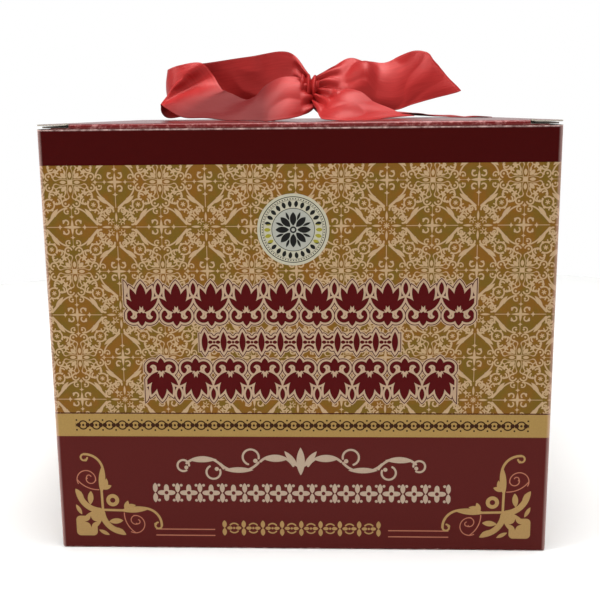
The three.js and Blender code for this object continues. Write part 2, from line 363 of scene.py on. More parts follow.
def damask(x, z):
    """Scrolls of the damask. One eighth of the repeat is drawn and folded into the rest."""
    across_fold = near(x + damask_start[0], 2 * damask_pitch)
    up_fold = near(z + damask_start[1], 2 * damask_pitch)
    outer = most(across_fold, up_fold)
    inner = least(across_fold, up_fold)
    cross = drawn(
        point(damask_pitch - outer, inner),
        (dot, 0, 0, 0.75),
        (leaf, 0, -3.9, 0, 3.9, 0.62),
        (leaf, -3.3, 0, 3.3, 0, 0.62),
        (spark, 0, 4.9, 1.35),
        (spark, 4.1, 0, 1.2),
        (bar, 0, 5.8, 0, 9.9, 0.2),
        (bar, 4.6, 0, 7.2, 0, 0.14),
        (spark, 7.7, 0, 1.3),
        (arc, 1.75, 2.45, 1.0, -20, 115, 0.36),
        (dot, 2.35, 3.3, 0.58),
        (arc, 0.9, 0.9, 6.7, 34, 24, 0.36),
        (arc, 6.3, 1.9, 1.0, 100, 110, 0.3),
        (dot, 6.2, 1.5, 0.5),
        (bar, 4.3, 7.2, 1.2, 10.0, 0.55),
        (leaf, 3.4, 8.6, 7.4, 5.2, 0.75),
        (arc, 2.35, 11.35, 1.35, -60, 125, 0.42),
        (arc, 2.75, 11.2, 0.62, 130, 95, 0.34),
    )
    star = drawn(
        point(damask_pitch - inner, damask_pitch - outer),
        (flower, 0, 0, 0.95, 0.42, 8),
        (leaf, 1.7, 0, 5.9, 0, 0.5),
        (arc, 2.5, 1.2, 0.62, 100, 100, 0.24),
        (spark, 3.05, 3.05, 1.55),
        (spark, 5.75, 5.75, 1.3),
        (arc, 5.6, 3.6, 1.15, 60, 110, 0.34),
        (arc, 7.3, 4.6, 1.2, 215, 80, 0.3),
    )
    slant = math.sqrt(0.5)
    floret = drawn(
        point((inner + outer - damask_pitch) * slant, (outer - inner) * slant),
        (flower, 0, 0, 0.8, 0.3, 6),
        (arc, 0, 0, 2.15, 90, 78, 0.36),
        (dot, 0.5, 2.25, 0.62),
        (arc, -3.1, 1.3, 1.05, 70, 120, 0.36),
        (arc, 3.0, 1.2, 0.75, 250, 120, 0.3),
    )
    rosette = drawn(
        point(outer, inner),
        (arc, 8.2, 2.1, 1.35, 60, 130, 0.36),
        (dot, 8.3, 2.2, 0.5),
        (arc, 7.2, 4.9, 1.2, 300, 105, 0.34),
        (flower, 5.3, 3.9, 1.0, 0.32, 5),
        (arc, 5.6, 1.6, 0.95, 20, 120, 0.28),
        (pad, 0, 0, 1.05, 0.6),
        (leaf, 1.45, 0, 4.1, 0, 0.72),
        (arc, 3.0, -3.9, 5.1, 90, 27, 0.2),
        (leaf, 1.5, 1.5, 3.6, 3.6, 0.85),
        (leaf, 2.6, 1.7, 5.0, 2.1, 0.45),
    )
    return least(cross, star, floret, rosette)


# ---- levels of the design, above the base ----
top_band_low = 158.2
foot_high = 48.0
strip_middle = 52.8
strip_half = 4.8
rule_level = 57.9
upper_row = 103.2
middle_row = 87.7
lower_row = 72.3
swash_level = 37.2
slab_level = 23.5
foot_level = 8.0
seal_at = (-2.0, 132.8)
seal_radius = 14.1
seal_field = 8.35  # radius of the field that the wreath goes round
design_top = 172.0
design_scale = 1.007  # the artwork is drawn a little large and fitted to the board from its top

# ---- inks of the ornament ----
halo = display(174, 148, 122)
outline = display(62, 10, 12)
title_ink = display(74, 6, 8)
seal_rim = display(178, 173, 152)
seal_ground = display(162, 162, 152)
seal_ink = display(26, 25, 24)
wreath_green = display(142, 136, 42)
rule_ink = display(60, 10, 15)
strip_ink = display(52, 26, 12)
silver = display(172, 152, 132)
rose_ink = display(172, 110, 86)
gold_ink = display(164, 132, 84)
# pale bare board, for worn and cut edges and also for the painted highlight along the rounded corners
bare_edge_and_highlight = display(236, 200, 192)


def palmettes(x, z):
    """Two rows of palmettes, the lower one hanging, with a row of beads and leaves between them."""
    upper_half, lower_half, bead_half = 68.9, 61.9, 39.3  # half lengths of the rows
    above = z > middle_row
    level = pick(above, z - upper_row, lower_row - z)
    shape = drawn(
        point(near(x + pick(above, 7.0, 0.0), 14.0), level),
        (leaf, 0, -1.5, 0, 8.6, 2.0),
        (leaf, 0.9, -2.6, 4.3, 6.6, 1.45),
        (leaf, 1.2, -3.2, 6.7, 2.6, 1.2),
        (arc, 3.2, -4.7, 2.1, -75, 120, 0.75),
        (dot, 4.6, -3.9, 1.05),
        (leaf, 0, -8.9, 0, -3.0, 1.5),
        (leaf, 7, 3.6, 7, 8.8, 1.0),
    )
    beads = drawn(
        point(near(x, 7.6), abs(z - middle_row)),
        (leaf, 0, -4.3, 0, 4.3, 1.25),
        (leaf, 1.3, 0, 3.2, 0, 0.7),
        (dot, 3.8, 0, 0.55),
        (arc, 3.8, 3.2, 1.9, -90, 65, 0.4),
    )
    shape = most(shape, abs(x) - pick(above, upper_half, lower_half))
    return least(shape, most(beads, abs(x) - bead_half))


def row(x, z, pitch, level, half_length, *strokes):
    """A row of ornament that repeats at a pitch, as long on either side of the middle."""
    return most(drawn(point(near(x, pitch), abs(z - level)), *strokes), abs(x) - half_length)


def strip_row(x, z):
    """Lozenges and beads along the plain strip."""
    lozenge, bead = (leaf, 0, 0, 1.7, 0, 0.95), (dot, 2.7, 0, 0.5)
    ring, speck = (arc, 2.7, 0, 1.75, 90, 62, 0.28), (dot, 0, 2.1, 0.38)
    return row(x, z, 5.4, strip_middle, 92.2, lozenge, bead, ring, speck)


def slab_row(x, z):
    """Pierced four-petal flowers with a leaf between neighbours."""
    petals, between = (pierced, 0, 0, 2.6, 1.05, 4, 0.8), (leaf, 4.65, 0, 4.65, 4.3, 1.0)
    return row(x, z, 9.3, slab_level, 61.4, petals, between, (dot, 3.1, 3.3, 0.6))


def foot_row(x, z):
    """Leaves and rings along the foot."""
    upright, lying = (leaf, 0, 0, 0, 3.4, 0.9), (leaf, 1.0, 0, 3.4, 0, 0.75)
    bead, ring = (dot, 4.0, 0, 0.5), (arc, 4.0, 0, 2.1, 90, 50, 0.3)
    return row(x, z, 8.0, foot_level, 32.9, upright, lying, bead, ring)


def swash(x, z):
    """A running scroll that grows out of a bud."""
    return drawn(
        point(abs(x), z - swash_level),
        (leaf, 0, -5.8, 0, 6.2, 1.7),
        (leaf, 1.2, -2.2, 6.6, 4.6, 1.15),
        (arc, 10.5, -6.0, 8.6, 98, 52, 0.5),
        (leaf, 5.2, 1.2, 15.5, 1.4, 1.3),
        (arc, 25.5, 6.4, 10.6, -92, 48, 0.5),
        (leaf, 19.5, -3.6, 31.5, -3.6, 1.2),
        (arc, 20.5, 2.0, 3.3, 60, 130, 0.42),
        (dot, 18.6, 0.4, 0.9),
        (arc, 40.3, -8.2, 10.0, 98, 50, 0.5),
        (leaf, 34.5, 0.9, 46.0, 0.6, 1.1),
        (arc, 36.0, -4.6, 2.9, -70, 130, 0.42),
        (dot, 34.6, -3.2, 0.85),
        (arc, 48.4, -1.8, 2.4, 30, 150, 0.42),
        (dot, 47.2, -2.6, 0.8),
    )


def corner_scroll(x, z):
    """A leafy corner and its two arms, in gold, with fine rose-coloured curls and rules."""
    corner_x, corner_z = 94.3, 4.2
    across_edge = corner_x - abs(x)
    above_edge = z - corner_z
    p = point(most(across_edge, above_edge), least(across_edge, above_edge))
    gold = drawn(p, (pad, 4.4, 4.4, 4.4, 1.8), (leaf, 1.5, 1.5, 11.4, 11.4, 3.4))
    gold = least(
        most(gold, -spark(p, 6.2, 6.2, 2.7)),
        abs(dot(p, 15.8, 15.8, 1.9)) - 0.8,
        drawn(
            p,
            (arc, 20.5, 11.0, 9.4, 222, 36, 1.25),
            (leaf, 15.6, 3.6, 20.8, 0.4, 1.2),
            (leaf, 13.8, 6.3, 19.8, 6.8, 1.2),
            (leaf, 9.4, 2.6, 13.8, 0.3, 0.8),
            (bar, 11.3, 11.5, 20.5, 11.3, 0.5),
            (leaf, 18.6, 11.2, 31.5, 12.3, 1.35),
            (leaf, 20.8, 11.6, 22.2, 15.6, 0.95),
            (leaf, 20.8, 13.2, 25.4, 13.6, 0.8),
            (arc, 28.6, 5.0, 7.35, 50, 52, 0.5),
            (arc, 34.6, 4.7, 1.35, 230, 130, 0.38),
            (dot, 33.4, 5.3, 0.6),
        ),
    )
    rose = drawn(
        p,
        (arc, 31.0, 10.0, 10.6, 207, 28, 0.2),
        (arc, 24.9, 5.2, 3.9, -10, 108, 0.2),
        (arc, 25.1, 7.1, 1.95, 185, 105, 0.2),
        (arc, 25.9, 6.3, 0.95, 330, 100, 0.2),
    )
    rules = abs(abs(above_edge - 1.75) - 1.35) - 0.22
    return gold, least(rose, most(rules, 33.5 - across_edge, across_edge - 58.3))


def seal(x, z):
    """The distance from the round seal's centre, the ink of its rings and flower, and its wreath."""
    q = point(x, z).less(seal_at)
    radius, turn = q.size(), q.turn()

    def round_ring(repeats, ring_radius):
        """Places near the nearest of so many points on a ring."""
        return point(near(turn, math.tau / repeats) * ring_radius, radius - ring_radius)

    def petal_place(angle):
        return point(radius * angle.cosine(), radius * angle.sine())

    wreath = leaf(round_ring(26, 10.1), 0, -1.3, 0, 1.3, 0.75)
    apart = math.tau / 8  # from a petal to the next
    petal = petal_place(near(turn, apart))
    tip = petal_place(near(turn + apart / 2, apart))
    ink = least(
        abs(radius - 12.85) - 0.16,
        abs(radius - seal_field) - 0.12,
        abs(radius - 11.6) - 0.07,
        abs(radius - 1.0) - 0.32,
        dot(round_ring(72, 12.1), 0, 0, 0.24),
        leaf(petal, 1.6, 0, 6.9, 0, 1.25),
        leaf(tip, 4.0, 0, 7.4, 0, 0.5),
    )
    return radius, most(ink, radius - 13.0), most(wreath, radius - 11.7)


def label_field(x, z):
    """A bare label field with notched corners, on the carton's sides."""
    half_across, half_up, middle, notch = 58.0, 36.0, 107.0, 8.0
    p = point(abs(x), abs(z - middle))
    field = most(p.part("X") - half_across, p.part("Y") - half_up)
    return most(field, notch - p.away((half_across, half_up)))


def print_finish(finish, axis, with_titles):
    """The printed board: damask, bands, foot and ornaments, with fibre, scuffs and worn folds, and a
    painted highlight along the rounded side corners.
    """
    colours = finish.colours
    place = finish.place()
    x = place.part(axis) * design_scale
    z = place.part("Z") * design_scale - design_top * (design_scale - 1)
    if with_titles:
        title = palmettes(x, z)
        radius, seal_shape, wreath = seal(x, z)
        beyond_middle = abs(z - (seal_at[1] - 1.5)) > 3.6
        layers = [
            (title - 1.5, halo),
            (abs(title - 1.0) - 0.17, outline),
            (title, title_ink),
            (radius - seal_radius, seal_rim),
            (radius - seal_field, seal_ground),
            (seal_shape, seal_ink),
            (wreath, mix(beyond_middle, wreath_green, seal_ink)),
        ]
    else:
        field = label_field(x, z)
        layers = [(field, halo), (abs(field + 1.6) - 0.5, title_ink), (abs(field + 3.2) - 0.16, title_ink)]
    gold, rose = corner_scroll(x, z)
    layers += [
        (abs(z - rule_level) - 0.25, rule_ink),
        (abs(z - strip_middle) - strip_half, colours.band),
        (strip_row(x, z), strip_ink),
        (z - foot_high, colours.maroon),
        (least(swash(x, z), slab_row(x, z)), silver),
        (rose, rose_ink),
        (least(gold, foot_row(x, z)), gold_ink),
        (top_band_low - z, colours.dark_maroon),
    ]
    ground = mix(place.noise(0.11, 2.0).range(0.4, 0.6), colours.gold, colours.gold_shade)
    colour = mix(edge(damask(x, z) + 0.08, 0.2), ground, colours.cream)
    for shape, ink in layers:
        colour = mix(edge(shape), colour, ink)

    grain = place.noise(1.4, 3.0, 0.6)
    mottle = grain.range(0.3, 0.7, 0.93, 1.05)
    colour = mix(1.0, colour, point(mottle, mottle, mottle), "MULTIPLY")
    wear = place.noise(0.35, 4.0, 0.7)
    height = place.part("Z")
    to_corner = half_width / MM - abs(place.part(axis))
    to_edge = least(to_corner, height, design_top + 0.4 - height)
    worn = (wear * 2.6 - to_edge).range(0.85, 1.2) * 0.45
    # a painted highlight: paler towards the rounded side corners, standing in for the light that they catch
    corner_highlight = to_corner.range(0.2, 1.6, 0.42, 0.0)
    cut_edge = height.range(design_top - 0.7, design_top - 0.3) * wear.range(0.4, 0.62, 0.15, 0.7)
    fibres = place.noise(3.0, 4.0, 0.65, (1.0, 1.0, 0.35))
    return finish.surface(
        base_color=mix(most(worn, corner_highlight, cut_edge), colour, bare_edge_and_highlight),
        roughness=grain.range(0.2, 0.8, 0.34, 0.5) + worn * 0.3,
        specular_ior_level=0.06,
        normal=fibres.bump(0.05 * MM, 0.35),
    )


# ---- the other finishes ----
def bare_board(finish, place, fibres, clouds=None):
    """Colour of unprinted board: short grey and cream fibres, clouds and dark specks."""
    colour = mix(fibres.range(0.35, 0.7), finish.colours.raw_board, display(186, 179, 168))
    if clouds:
        colour = mix(clouds.range(0.3, 0.7, 0.0, 0.25), colour, display(152, 142, 128))
    specks = place.noise(4.0, 2.0, 0.5).range(0.66, 0.74, 0.0, 0.5)
    return mix(specks, colour, display(126, 110, 90))


def raw_finish(finish):
    """Unprinted board, soft to the light."""
    place = finish.place()
    fibres = place.noise(1.8, 5.0, 0.7, (1.0, 1.0, 0.3))
    return finish.surface(
        base_color=bare_board(finish, place, fibres, place.noise(0.06, 2.0)),
        roughness=fibres.range(0.3, 0.7, 0.75, 0.9),
        specular_ior_level=0.3,
        normal=fibres.bump(0.08 * MM, 0.5),
    )


def flap_finish(finish, printed_side):
    """Board whose printed side faces up or down, and whose other side and edges are raw."""
    place = finish.place()
    facing = finish.node("ShaderNodeTexCoord", {}, {}, "Normal").part("Z")
    printed = (facing * printed_side).range(0.5, 0.6)
    fibres = place.noise(1.8, 5.0, 0.7, (1.0, 0.3, 1.0))
    rubs = place.noise(0.25, 5.0, 0.75).range(0.62, 0.85, 0.0, 0.3)
    ink = mix(rubs, finish.colours.maroon, display(170, 120, 112))
    return finish.surface(
        base_color=mix(printed, bare_board(finish, place, fibres), ink),
        roughness=fibres.range(0.3, 0.7, 0.78, 0.9) - printed * 0.38,
        specular_ior_level=0.35,
        normal=fibres.bump(0.07 * MM, 0.5),
    )


def lid_finish(finish):
    """Varnished maroon board: soft ripples, long pale rubs towards the front and a pale front crease, both
    partly wear and partly a painted highlight of the glossy front roll.
    """
    place = finish.place()
    clouds = place.noise(0.012, 3.0, 0.6)
    grain = place.noise(2.0, 3.0, 0.6)
    scratches = place.noise(0.6, 5.0, 0.75, (0.12, 1.6, 1.0))
    flecks = place.noise(0.5, 4.0, 0.7)
    ripples = place.noise(0.05, 2.0, 0.5, (0.5, 1.6, 1.0))
    from_front = place.part("Y") + half_depth / MM
    # pale streaks near the front: partly rubbed wear, partly a painted reflection on the glossy lid
    rubs_and_reflection = scratches.range(0.6, 0.74) * from_front.range(1.0, 16.0, 1.0, 0.0)
    # a pale line along the front crease: partly cracked varnish, partly a painted highlight of the roll
    crease_wear_and_highlight = flecks.range(0.5, 0.66) * abs(from_front - 1.2).range(0.1, 1.0, 1.0, 0.0)
    # worn: wear and painted highlight together, mixed towards pinkish white
    worn = most(rubs_and_reflection * 0.35, crease_wear_and_highlight * 0.55)
    colour = mix(clouds.range(0.2, 0.8), display(86, 8, 8), display(104, 13, 14))
    return finish.surface(
        base_color=mix(worn, colour, display(204, 150, 146)),
        roughness=scratches.range(0.3, 0.8, 0.24, 0.42) + worn * 0.2,
        specular_ior_level=0.45,
        specular_tint=display(255, 176, 172),
        coat_weight=0.2,
        coat_roughness=0.12,
        normal=(ripples * 0.9 + grain * 0.015).bump(0.5 * MM, 0.7),
    )


def satin_finish(finish):
    """Satin ribbon: fine floats along its length, a corded edge painted a little lighter as a highlight,
    and soft colour changes.
    """
    flat = finish.node("ShaderNodeUVMap", {"uv_map": "ribbon"}, {})
    along, over = flat.part("X"), flat.part("Y")  # both in millimetres
    float_pitch, stitch_pitch = 0.34, 0.9
    floats = (over * (math.tau / float_pitch)).sine()
    stitch = ((along + over * 2.0) * (math.tau / stitch_pitch)).sine()
    half = bpy.context.scene.gift_box_sizes.ribbon_width / MM / 2
    cord = abs(half - abs(over) - 0.55).range(0.05, 0.45, 1.0, 0.0)
    threads = flat.noise(1.2, 3.0, 0.6, (0.08, 1.0, 1.0))
    clouds = flat.noise(0.05, 2.0)
    dull_and_shade = finish.node("ShaderNodeAttribute", {"attribute_name": "dull_and_shade"}, {}, "Fac")
    colour = mix(threads.range(0.3, 0.7), finish.colours.ribbon, display(180, 44, 43))
    colour = mix(clouds.range(0.3, 0.7, 0.0, 0.4), colour, display(134, 20, 21))
    # the corded edge painted lighter: a painted highlight where the edge catches the light
    colour = mix(cord * 0.3, colour, display(196, 78, 76))
    return finish.surface(
        # a stretch of ribbon painted darker as shade, and made rougher
        base_color=mix(dull_and_shade, colour, display(98, 19, 21)),
        roughness=threads.range(0.3, 0.7, 0.34, 0.44) + dull_and_shade * 0.25,
        specular_ior_level=0.65,
        specular_tint=display(255, 156, 150),
        anisotropic=0.35,
        normal=(floats * 0.25 + stitch * 0.12 + cord * 1.2 + threads * 0.5).bump(0.06 * MM, 0.6),
    )


def from_score(x, y):
    """Distance from the nearer line of the cross that is cut into the loaf's top."""
    slant = 0.15
    return abs(x + y * slant), abs(y - x * slant)


def crust_finish(finish):
    """Baked crust: dark and glossy on the dome, paler in the cracks of the cross and at the rim."""
    place = finish.place()
    pores = place.noise(0.7, 4.0, 0.7)
    flakes = place.noise(0.22, 5.0, 0.65)
    crackle = abs(place.noise(0.09, 5.0, 0.7) - 0.5).range(0.0, 0.03, 1.0, 0.0)
    score = least(*from_score(place.part("X"), place.part("Y")))
    torn = (score + (flakes - 0.5) * 9.0).range(1.5, 5.0, 1.0, 0.0)
    rim = place.part("Z").range(100.0, 118.0, 1.0, 0.0)
    blotches = place.noise(0.05, 4.0, 0.6).range(0.35, 0.68)
    colour = mix(blotches, finish.colours.crust, display(78, 32, 12))
    for share, tone in (
        (flakes.range(0.5, 0.7, 0.0, 0.75), display(168, 96, 38)),
        (crackle * 0.55, display(206, 146, 74)),
        (torn * 0.75, display(214, 160, 84)),
        (rim * 0.7, display(196, 130, 62)),
    ):
        colour = mix(share, colour, tone)
    return finish.surface(
        base_color=colour,
        roughness=pores.range(0.3, 0.7, 0.42, 0.72),
        normal=(pores * 0.5 + flakes * 0.9 + torn * 0.3 - crackle * 0.5).bump(1.4 * MM, 0.9),
    )


def mould_finish(finish):
    """Brown baking paper, printed with small gold lozenges and a line of beads."""
    place = finish.place()
    z = place.part("Z")
    mouth = 84.0
    p = point(near(place.turn() * mouth, 12.0), near(z, 17.0))
    pattern = drawn(p, (dot, 0, 0, 0.7), (spark, 6.0, 8.5, 2.2), (leaf, 3.6, 0, 5.9, 0, 0.35))
    pattern = least(abs(spark(p, 0, 0, 3.6)) - 0.28, pattern)
    pattern = least(most(pattern, z - 96.0, 12.0 - z), abs(abs(z - 100.5) - 1.6) - 0.25)
    fibres = place.noise(1.5, 5.0, 0.7, (1.0, 1.0, 0.4))
    grease = place.noise(0.04, 3.0).range(0.5, 0.7, 0.0, 0.35)
    colour = mix(fibres.range(0.3, 0.7), display(86, 48, 24), display(108, 66, 36))
    colour = mix(edge(pattern) * 0.85, colour, display(198, 156, 78))
    return finish.surface(
        base_color=mix(grease, colour, display(58, 30, 14)),
        roughness=fibres.range(0.3, 0.7, 0.62, 0.82),
        specular_ior_level=0.35,
        normal=fibres.bump(0.1 * MM, 0.5),
    )


def film_finish(finish):
    """Clear food film: nearly invisible, with milky creases."""
    place = finish.place()
    creases = place.noise(0.05, 4.0, 0.6, (1.0, 1.0, 0.5))
    streak = abs(creases - 0.5).range(0.0, 0.02, 1.0, 0.0)
    neck = place.part("Z").range(150.0, 160.0)  # the film is milkier where it is gathered
    return finish.surface(
        base_color=mix(streak, display(232, 236, 238), display(252, 252, 252)),
        roughness=creases.range(0.3, 0.7, 0.08, 0.18),
        specular_ior_level=0.4,
        alpha=streak * 0.03 + 0.05 + neck * 0.14,
        normal=creases.bump(1.6 * MM, 0.5),
    )


def tie_finish(finish):
    """Gold foil over wire, finely ribbed."""
    place = finish.place()
    crinkle = place.noise(1.6, 3.0, 0.6)
    ribs = ((place.part("X") + place.part("Y")) * (math.tau / 0.8)).sine()
    return finish.surface(
        base_color=mix(crinkle.range(0.3, 0.7), display(206, 158, 62), display(236, 200, 112)),
        metallic=0.85,
        roughness=crinkle.range(0.3, 0.7, 0.25, 0.4),
        normal=(crinkle + ribs * 0.3).bump(0.15 * MM, 0.7),
    )


def floor_finish(finish):
    """A pale, even floor."""
    cloud = finish.place().noise(0.004, 2.0)
    return finish.surface(
        base_color=mix(cloud, display(244, 244, 243), display(250, 250, 249)),
        roughness=cloud.range(0.3, 0.7, 0.8, 0.9),
        specular_ior_level=0.1,
    )


FINISHES = {
    "front_print": lambda finish: print_finish(finish, "X", True),
    "side_print": lambda finish: print_finish(finish, "Y", False),
    "raw_fibres": raw_finish,
    "varnished_maroon": lid_finish,
    "dust_board": lambda finish: flap_finish(finish, 1),
    "base_board": lambda finish: flap_finish(finish, -1),
    "red_satin": satin_finish,
    "crust": crust_finish,
    "mould_paper": mould_finish,
    "film": film_finish,
    "gold_foil": tie_finish,
    "pale_floor": floor_finish,
}


def coat(name):
    """The material of that name, made the first time that it is asked for."""
    return bpy.data.materials.get(name) or FINISHES[name](Finish(name))


# ---- modelling helpers ----
def select_only(piece=None):
    if bpy.context.mode != "OBJECT":
        bpy.ops.object.mode_set(mode="OBJECT")
    bpy.ops.object.select_all(action="DESELECT")
    if piece:
        piece.select_set(True)
        bpy.context.view_layer.objects.active = piece


class Editing:
    """Holds a piece open for editing, with the corners selected that a test of their place wants."""

    def __init__(self, piece, wanted=lambda at: True):
        self.piece = piece
        self.wanted = wanted

    def __enter__(self):
        select_only(self.piece)
        bpy.ops.object.mode_set(mode="EDIT")
        bpy.ops.mesh.select_mode(type="VERT")
        bpy.ops.mesh.select_all(action="DESELECT")
        bpy.ops.object.mode_set(mode="OBJECT")
        for corner in self.piece.data.vertices:
            corner.select = self.wanted(corner.co)
        bpy.ops.object.mode_set(mode="EDIT")

    def __exit__(self, *trouble):
        bpy.ops.object.mode_set(mode="OBJECT")


def place_applied():
    bpy.ops.object.transform_apply(location=True, rotation=True, scale=True)


def standing_plane(half_across, low, high, y, tilt):
    """A plane that stands between two heights, tilted from lying flat."""
    select_only()
    middle = (0, y, (low + high) / 2)
    bpy.ops.mesh.primitive_plane_add(size=1, location=middle, rotation=(tilt, 0, 0))
    piece = bpy.context.object
    piece.scale = (2 * half_across, high - low, 1)
    place_applied()
    return piece


def face_towards(piece, way):
    """Turns a sheet over if most of it faces away from a direction."""
    if sum(face.normal.dot(way) * face.area for face in piece.data.polygons) < 0:
        piece.data.flip_normals()


def apply_modifier(piece, kind, **settings):
    select_only(piece)
    modifier = piece.modifiers.new(kind.title(), kind)
    for name, value in settings.items():
        setattr(modifier, name, value)
    bpy.ops.object.modifier_apply(modifier=modifier.name)


def thicken(piece, thickness):
    """Gives a sheet its thickness behind the face, with the second material there and on the rim."""
    materials = {"material_offset": 1, "material_offset_rim": 1}
    apply_modifier(piece, "SOLIDIFY", thickness=thickness, offset=-1, use_even_offset=False, **materials)


def named(piece, name, *finishes):
    piece.name = name
    piece.data.name = name
    piece.data.materials.clear()
    for finish in finishes:
        piece.data.materials.append(coat(finish))


def in_scene(name, data):
    made = bpy.data.objects.new(name, data)
    bpy.context.scene.collection.objects.link(made)
    return made


def sheet_mesh(name, corners, faces, lines=()):
    mesh = bpy.data.meshes.new(name)
    mesh.from_pydata([tuple(c) for c in corners], lines, faces)
    mesh.update()
    return in_scene(name, mesh)


def smooth(piece, degrees=35):
    select_only(piece)
    bpy.ops.object.shade_smooth_by_angle(angle=math.radians(degrees))


def settle(piece, body, slot, *nodes):
    """The body that carries a piece, and the solids that it stands for, which it hides. The slot is not
    used.
    """
    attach(piece, body)
    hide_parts(*nodes)


def recoat(finish, *nodes):
    """A new finish on every material slot of carried-over solids."""
    for node in nodes:
        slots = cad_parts[node].data.materials
        if not slots:
            slots.append(None)
        for index in range(len(slots)):
            slots[index] = coat(finish)


# ---- walls ----
def wall(name, node, turn, out, half_across, top, finish):
    """A wall with its base fold and both corner folds, made facing -Y and turned into place."""
    fold = bpy.context.scene.gift_box_sizes.fold_radius
    flat_half = half_across - fold
    piece = standing_plane(flat_half, base_fold, top, -out, math.pi / 2)
    with Editing(piece):
        bpy.ops.mesh.subdivide(number_cuts=8)
    with Editing(piece, lambda at: at.z < base_fold + TOUCH):
        centre = (0, -out + base_fold, base_fold)
        bpy.ops.mesh.spin(steps=5, angle=-math.pi / 2, center=centre, axis=(1, 0, 0))
    for side in (-1, 1):
        with Editing(piece, lambda at: at.x * side > flat_half - TOUCH):
            centre = (side * flat_half, -out + fold, 0)
            bpy.ops.mesh.spin(steps=5, angle=-side * math.pi / 4, center=centre, axis=(0, 0, 1))
    with Editing(piece):
        bpy.ops.mesh.remove_doubles(threshold=TOUCH)
        bpy.ops.mesh.normals_make_consistent(inside=False)
    face_towards(piece, Vector((0, -1, 0)))
    select_only(piece)
    piece.rotation_euler = (0, 0, turn)
    place_applied()
    named(piece, name, finish, "raw_fibres")
    thicken(piece, board)
    smooth(piece)
    settle(piece, "carton", "printed_board", node)


rear_fold_low = back_high.z - 0.7 * MM  # the rear crease strip takes over from the wall here
rear_fold_end = back_high.y - 1.4 * MM  # and the lid from the strip here


class GIFTBOX_OT_walls(bpy.types.Operator):
    """Make the four printed walls with their folded corners, and give the glue flap behind one its raw
    finish
    """

    bl_idname = "giftbox.walls"
    bl_label = "Walls"

    def execute(self, context):
        right, side_top = math.pi / 2, right_high.z
        wall("front_wall", "front_panel", 0, half_depth, half_width, front_high.z, "front_print")
        wall("right_wall", "right_panel", right, half_width, half_depth, side_top, "side_print")
        wall("back_wall", "back_panel", 2 * right, half_depth, half_width, rear_fold_low, "front_print")
        wall("left_wall", "left_panel", -right, half_width, half_depth, side_top, "side_print")
        recoat("raw_fibres", "glue_flap")
        return {"FINISHED"}


# ---- lid ----
roll_radius = 1.2 * MM
crease_y = -(half_depth - 0.9 * MM) + roll_radius  # where the lid starts to roll over the front
tuck_lean = math.radians(6)
roll_turn = math.pi / 2 + tuck_lean
tuck_depth = tuck_high.z - tuck_low.z
tuck_root, tuck_tip = 96 * MM, 90 * MM  # half widths of the tuck flap
root_round, tip_round = 2 * MM, 9 * MM
first_depth = 0.15 * MM  # of the tuck flap's first row below the roll
slit_x = half_width - 12 * MM  # inner end of each slit
slit_gap = 0.15 * MM
slit_end = slit_x + slit_gap
slot_in, slot_out, slot_y = 15.3 * MM, 16.7 * MM, 13.5 * MM  # the ribbon's slots


def lid_lift(x, y):
    """How far the lid stands above flat at a place in metres: it bows up round a dip at the ribbon."""
    sizes = bpy.context.scene.gift_box_sizes
    fullness = 2.4  # the higher, the flatter the lid's middle
    over = max(0.0, 1 - (abs(x) / half_width) ** fullness)
    deep = max(0.0, 1 - (abs(y) / half_depth) ** fullness)
    ripple = noise.noise(Vector((x * 22, y * 9, 3.0))) * 0.25
    dip = max(0.0, 1 - (x / dust_edge) ** 2) ** 2 * deep
    return sizes.lid_rise * over * deep * (1 + ripple) - (sizes.lid_dip + sizes.lid_rise) * dip


def spaced(start, end, count):
    return [start + (end - start) * i / count for i in range(count + 1)]


def rounded_off(radius, into):
    """How far a round corner has drawn in, at a distance past its start."""
    return radius - math.sqrt(max(0.0, radius**2 - max(0.0, into) ** 2))


def tuck_half(depth):
    """Half width of the tuck flap at a depth below its crease."""
    half = tuck_root + (tuck_tip - tuck_root) * depth / tuck_depth
    half -= rounded_off(root_round, root_round - depth)
    return half - rounded_off(tip_round, depth - (tuck_depth - tip_round))


def rolled(angle):
    """The y and z of the front crease, at an angle round it from flat."""
    return crease_y - roll_radius * math.sin(angle), lid_top - roll_radius * (1 - math.cos(angle))


def lid_corner(x, kind, amount):
    """A place of the lid sheet's outer face: flat rows, then the roll, then the tuck flap."""
    reach = abs(x)
    beyond = reach > slit_x
    if kind == "flat":
        y = lid_low.y if beyond and amount < crease_y + TOUCH else amount
        curl = 0.5 * MM * math.exp(-(((reach - slit_x) / (1.5 * MM)) ** 2)) if beyond else 0.0
        near_front = max(0.0, 1 - (y - lid_low.y) / (3 * MM))
        return (x, y, lid_top + lid_lift(x, y) + curl * near_front)
    if kind == "roll":
        y, z = rolled(amount * roll_turn)
        return (x, y, z + lid_lift(x, crease_y) * (1 - amount))
    half = tuck_half(amount)
    wide = max(half, slit_x + 1 * MM)
    if beyond:
        reach = slit_end + (reach - slit_end) / (lid_high.x - slit_end) * (wide - slit_end)
    straight = 60 * MM  # the columns nearer the middle than this stay straight
    if half < wide and reach > straight:
        reach = straight + (reach - straight) * (half - straight) / (wide - straight)
    bulge = 0.25 * MM * math.sin(math.pi * min(1.0, amount / (20 * MM)))
    bulge *= noise.noise(Vector((x * 30, amount * 60, 0.5)))
    y, z = rolled(roll_turn)
    y += amount * math.sin(tuck_lean) + bulge
    return (math.copysign(reach, x), y, z - amount * math.cos(tuck_lean))


